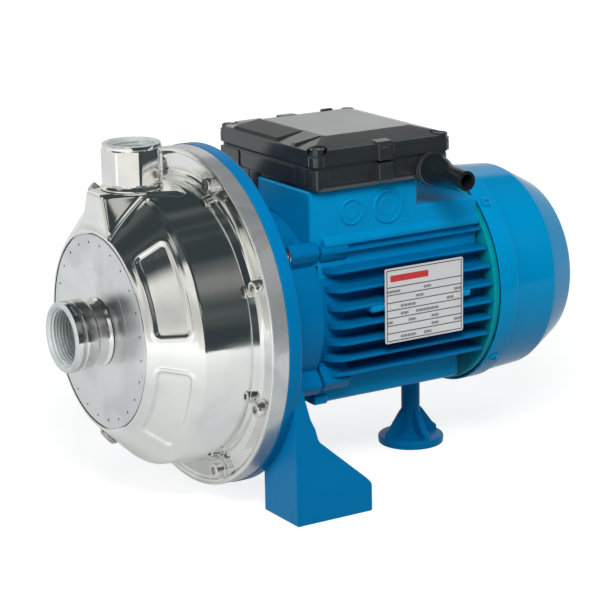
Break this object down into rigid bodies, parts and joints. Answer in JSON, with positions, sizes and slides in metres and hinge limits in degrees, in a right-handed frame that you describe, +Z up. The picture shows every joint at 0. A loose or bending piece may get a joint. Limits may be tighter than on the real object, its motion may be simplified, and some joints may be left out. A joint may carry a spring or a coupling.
{
  "type": "centrifugal pump",
  "caption": "Close-coupled centrifugal pump: polished stainless casing with front suction and top discharge ports, blue finned motor, fan cover, black terminal box and feet.",
  "frame": {"origin": "middle of the bounding box's bottom face, on the floor under the pump", "axes": "+X runs along the shaft from the suction port to the fan cover, +Z is up, -Y is the side of the nameplate and the cable gland"},
  "size_m": [0.3748, 0.2316, 0.2458],
  "materials": {
    "polished_steel": "mirror polished stainless sheet",
    "brushed_steel": "turned or brushed stainless steel",
    "bright_zinc": "bright plated or stainless fasteners",
    "blue_paint": "semi-gloss blue paint on cast aluminium and sheet",
    "black_plastic": "black moulded plastic, semi-gloss",
    "grey_plastic": "dark grey moulded plastic",
    "rubber": "black rubber",
    "ceramic": "pale ceramic seal ring",
    "copper": "varnished copper winding",
    "lamination": "laminated electrical steel",
    "plate_metal": "satin silver plate"
  },
  "bodies": {
    "pump_body": {"pump_casing": "polished_steel", "casing_front_plate": "polished_steel", "suction_port": "polished_steel", "discharge_port": "polished_steel", "seal_plate": "brushed_steel", "casing_o_ring": "rubber", "wear_ring": "brushed_steel", "mechanical_seal_seat": "ceramic", "priming_plug": "bright_zinc", "drain_plug": "bright_zinc", "stator_core": "lamination", "stator_winding_front": "copper", "stator_winding_rear": "copper", "front_bearing": "brushed_steel", "rear_bearing": "brushed_steel", "motor_bracket": "blue_paint", "motor_housing": "blue_paint", "rear_shield": "blue_paint", "fan_cover": "blue_paint", "rear_foot": "blue_paint", "nameplate": "plate_metal", "nameplate_rivet_1": "bright_zinc", "nameplate_rivet_2": "bright_zinc", "terminal_box_base": "black_plastic", "terminal_box_cover": "black_plastic", "terminal_box_gasket": "rubber", "cable_gland": "black_plastic", "cord_protector": "rubber", "terminal_block": "grey_plastic", "capacitor": "grey_plastic", "casing_screw_1": "bright_zinc", "casing_screw_2": "bright_zinc", "casing_screw_3": "bright_zinc", "casing_screw_4": "bright_zinc", "casing_screw_5": "bright_zinc", "casing_screw_6": "bright_zinc", "casing_screw_7": "bright_zinc", "casing_screw_8": "bright_zinc", "housing_bolt_1": "bright_zinc", "fan_cover_screw_1": "bright_zinc", "box_cover_screw_1": "bright_zinc", "housing_bolt_2": "bright_zinc", "fan_cover_screw_2": "bright_zinc", "box_cover_screw_2": "bright_zinc", "housing_bolt_3": "bright_zinc", "fan_cover_screw_3": "bright_zinc", "box_cover_screw_3": "bright_zinc", "housing_bolt_4": "bright_zinc", "fan_cover_screw_4": "bright_zinc", "box_cover_screw_4": "bright_zinc"},
    "rotor": {"shaft": "brushed_steel", "rotor_core": "lamination", "impeller": "brushed_steel", "impeller_nut": "bright_zinc", "mechanical_seal_head": "rubber", "water_slinger": "rubber", "cooling_fan": "grey_plastic"}
  },
  "joints": [
    {"name": "rotor_spin", "type": "hinge", "parent": "pump_body", "child": "rotor", "pos_m": [0, 0, 0.122], "axis": [1, 0, 0], "continuous": true}
  ]
}
